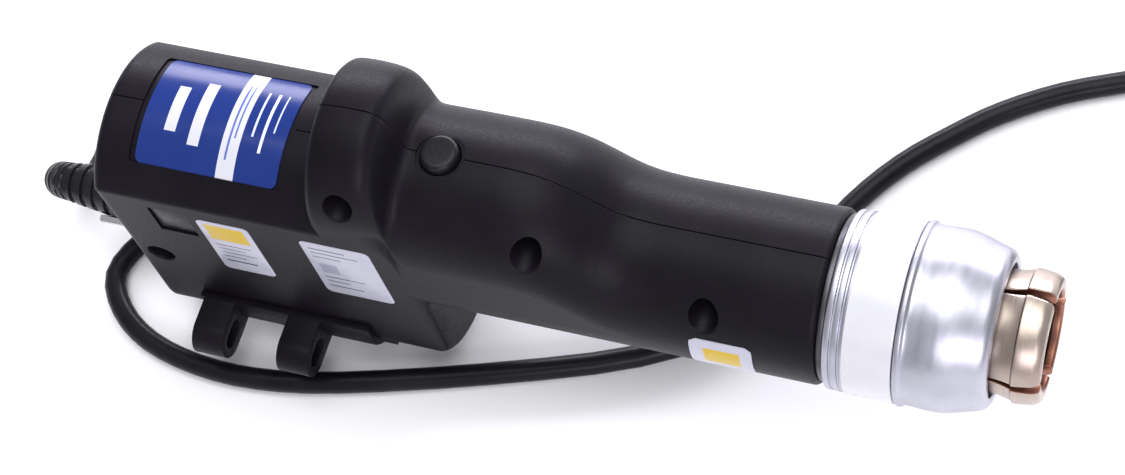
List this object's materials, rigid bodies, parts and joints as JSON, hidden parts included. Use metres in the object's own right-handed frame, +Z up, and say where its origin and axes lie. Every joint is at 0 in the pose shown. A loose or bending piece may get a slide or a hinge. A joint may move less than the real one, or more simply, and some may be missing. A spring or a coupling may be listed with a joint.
{
  "type": "hand-held vial cap crimper",
  "caption": "Hand-held electric crimper that closes metal caps on vials: moulded body with motor belly, raised collar, button, round barrel and a silver head with crimping fingers, on a cable.",
  "frame": {"origin": "centre of the bounding box of the tool without its cable and plugs, at the flat base of the stand bracket", "axes": "+X along the barrel towards the crimping jaws, +Z up through the spine of the body, +Y to the left seen from behind"},
  "size_m": [0.3438, 0.1447, 0.0963],
  "materials": {
    "shell": "fine moulded texture, soft satin",
    "bracket": "fine moulded texture",
    "black_trim": "satin",
    "cable_jacket": "satin",
    "label_blue": "printed film",
    "label_pale": "printed film",
    "band_white": "printed film",
    "alloy": "satin turned",
    "steel": "ground",
    "dark_steel": "black oxide",
    "cast_frame": "machined",
    "jaw_metal": "satin tan plating with copper coloured inner faces",
    "gear_brass": "cut",
    "board": "laminate"
  },
  "bodies": {
    "tool": {"housing_right": "shell", "housing_left": "shell", "housing_screws": "dark_steel", "saddle_bracket": "bracket", "bracket_screws": "dark_steel", "top_label": "label_blue", "rating_label": "label_pale", "approval_label": "label_pale", "barrel_label": "label_pale", "port_cover": "black_trim", "button_spring": "steel", "start_switch": "black_trim", "control_board": "board", "motor": "steel", "gearhead": "steel", "gear_plate": "cast_frame", "rear_bearing": "steel", "front_bearing": "steel", "bearing_block": "cast_frame", "guide_rod": "steel", "guide_bushing": "cast_frame", "head_adapter": "alloy", "head_sleeve": "alloy", "size_band": "band_white", "head_bell": "alloy", "jaw_holder": "steel", "jaw_pins": "steel", "ejector_spring": "steel", "power_socket": "black_trim", "power_plug": "black_trim", "cable": "cable_jacket", "cable_coil": "cable_jacket", "supply_plug": "black_trim"},
    "drive_screw": {"drive_screw": "steel", "drive_gear": "gear_brass"},
    "motor_rotor": {"output_shaft": "steel", "motor_pinion": "gear_brass"},
    "carriage": {"drive_nut": "gear_brass", "push_tube": "steel", "cam_cone": "steel"},
    "jaw_1": {"jaw_1": "jaw_metal"},
    "jaw_2": {"jaw_2": "jaw_metal"},
    "jaw_3": {"jaw_3": "jaw_metal"},
    "jaw_4": {"jaw_4": "jaw_metal"},
    "ejector": {"ejector": "steel"},
    "start_button": {"start_button": "black_trim"}
  },
  "joints": [
    {"name": "screw_turn", "type": "hinge", "parent": "tool", "child": "drive_screw", "pos_m": [-0.046, 0, 0.048], "axis": [1, 0, 0], "range_deg": [0, 541]},
    {"name": "shaft_turn", "type": "hinge", "parent": "tool", "child": "motor_rotor", "pos_m": [-0.046, 0, 0.0236], "axis": [1, 0, 0], "range_deg": [-835, 0]},
    {"name": "push_travel", "type": "slide", "parent": "tool", "child": "carriage", "axis": [1, 0, 0], "range_m": [0, 0.006]},
    {"name": "jaw_1_close", "type": "hinge", "parent": "tool", "child": "jaw_1", "pos_m": [0.091, -0.00525, 0.05709], "axis": [0, 0.866, 0.5], "range_deg": [0, 5.7]},
    {"name": "jaw_2_close", "type": "hinge", "parent": "tool", "child": "jaw_2", "pos_m": [0.091, -0.00909, 0.04275], "axis": [0, -0.5, 0.866], "range_deg": [0, 5.7]},
    {"name": "jaw_3_close", "type": "hinge", "parent": "tool", "child": "jaw_3", "pos_m": [0.091, 0.00525, 0.03891], "axis": [0, -0.866, -0.5], "range_deg": [0, 5.7]},
    {"name": "jaw_4_close", "type": "hinge", "parent": "tool", "child": "jaw_4", "pos_m": [0.091, 0.00909, 0.05325], "axis": [0, 0.5, -0.866], "range_deg": [0, 5.7]},
    {"name": "ejector_push", "type": "slide", "parent": "tool", "child": "ejector", "axis": [-1, 0, 0], "range_m": [0, 0.0035], "stiffness_N_per_m": 300, "deforming": ["ejector_spring"]},
    {"name": "button_press", "type": "slide", "parent": "tool", "child": "start_button", "axis": [0, 0, -1], "range_m": [0, 0.0015], "stiffness_N_per_m": 500, "deforming": ["button_spring"]}
  ],
  "couplings": [
    {"joint": "screw_turn", "follows": "push_travel", "rad_per_m": 1570.8},
    {"joint": "shaft_turn", "follows": "push_travel", "rad_per_m": -2421.6},
    {"joint": "jaw_1_close", "follows": "push_travel", "rad_per_m": 16.579},
    {"joint": "jaw_2_close", "follows": "push_travel", "rad_per_m": 16.579},
    {"joint": "jaw_3_close", "follows": "push_travel", "rad_per_m": 16.579},
    {"joint": "jaw_4_close", "follows": "push_travel", "rad_per_m": 16.579}
  ]
}
